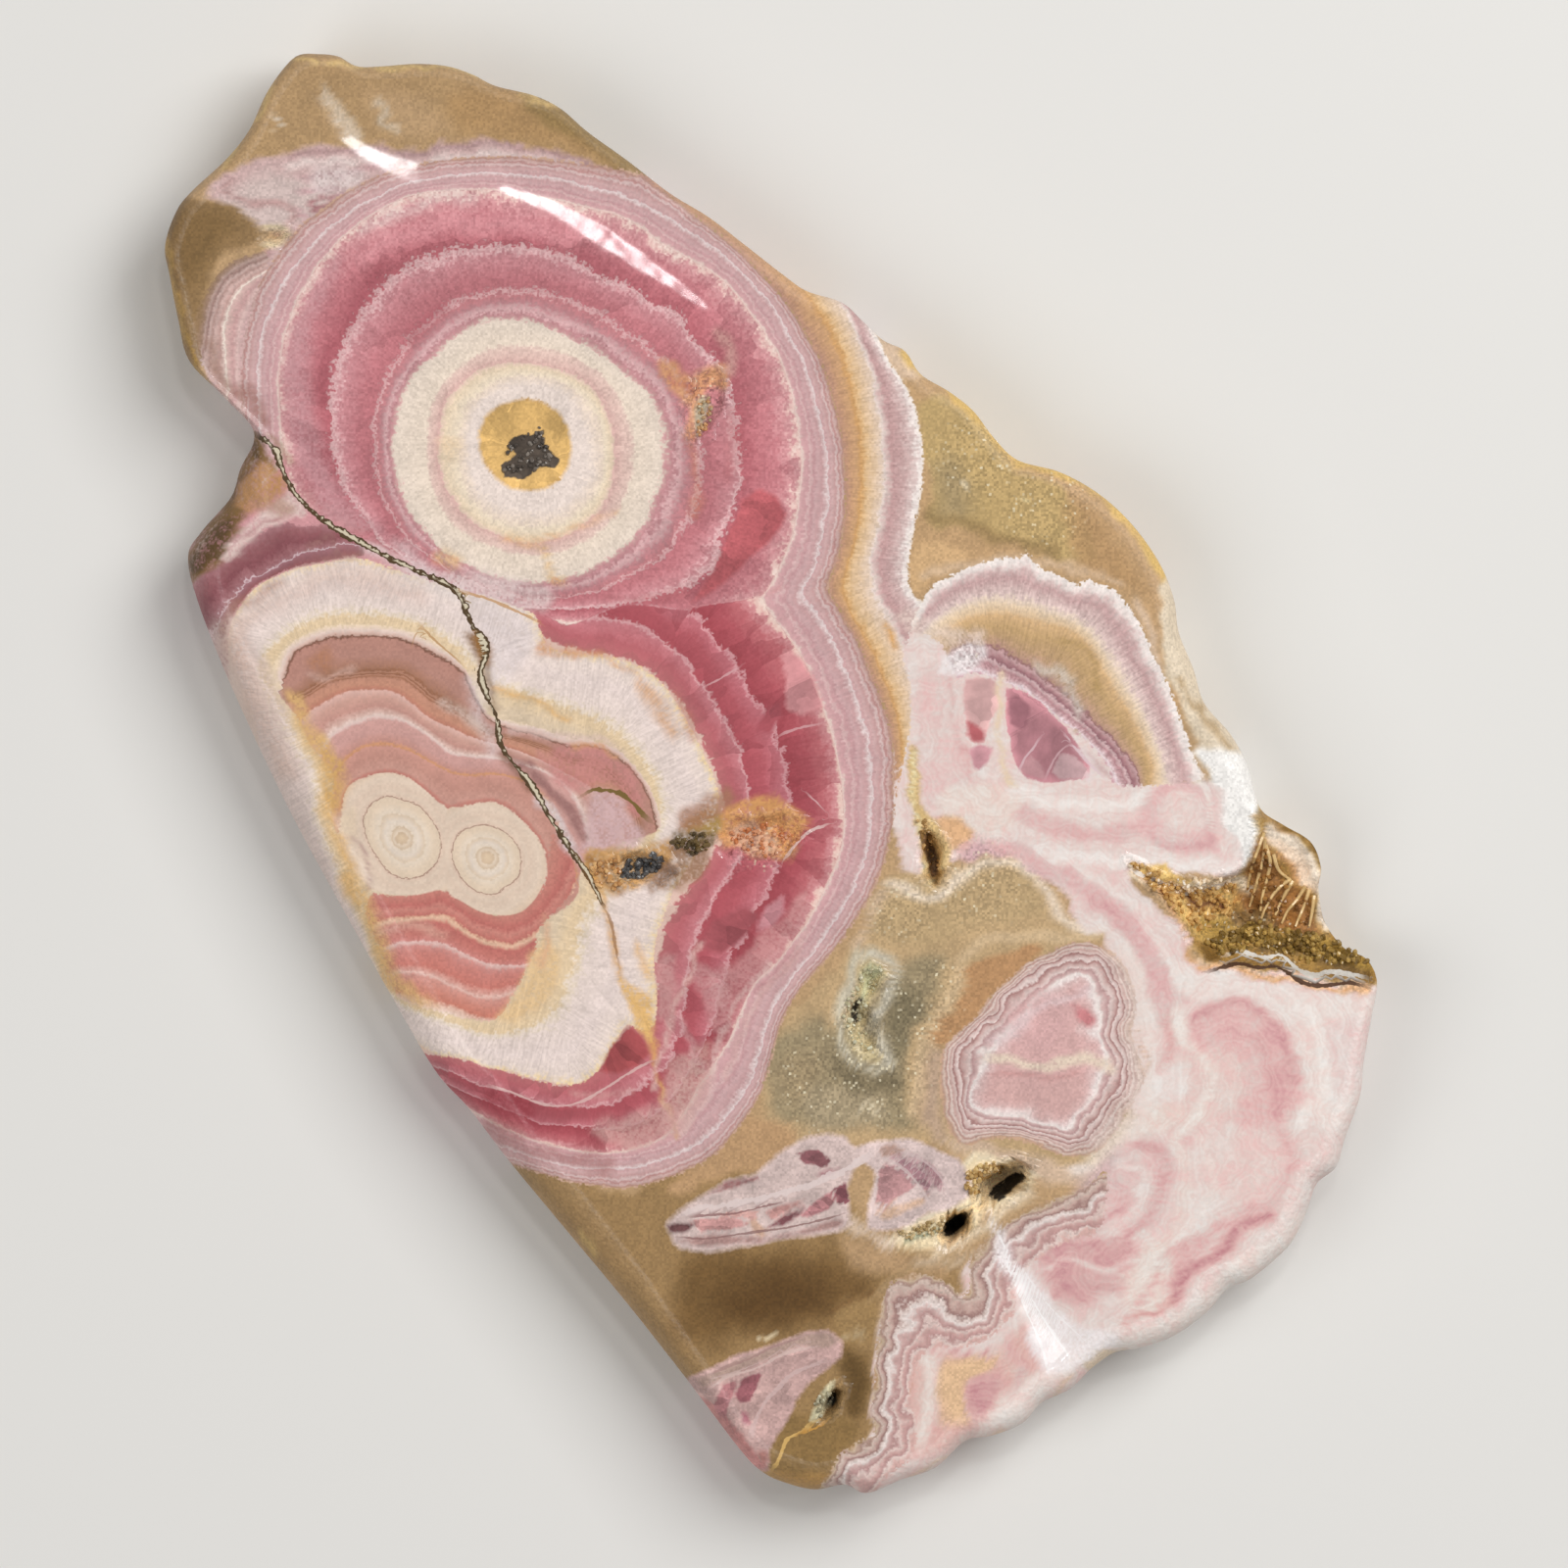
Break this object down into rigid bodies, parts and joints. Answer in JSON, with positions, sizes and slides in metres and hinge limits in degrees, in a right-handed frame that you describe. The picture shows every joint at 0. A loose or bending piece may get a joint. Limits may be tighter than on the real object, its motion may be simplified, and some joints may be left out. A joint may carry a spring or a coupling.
{
  "type": "rhodochrosite slice",
  "caption": "Flat polished slice of a banded pink and tan mineral with a rolled rim, a rough side bay and small open vugs; it rests on its sawn back.",
  "frame": {"origin": "middle of the slice's box, on the surface that the sawn back rests on", "axes": "+Z out of the polished face, +Y towards the end with the large rosette, +X towards the side with the rough bay"},
  "size_m": [0.0991, 0.1176, 0.009],
  "materials": {
    "banded_stone": "polished"
  },
  "bodies": {
    "root": {"rhodochrosite_slice": "banded_stone"}
  },
  "joints": []
}
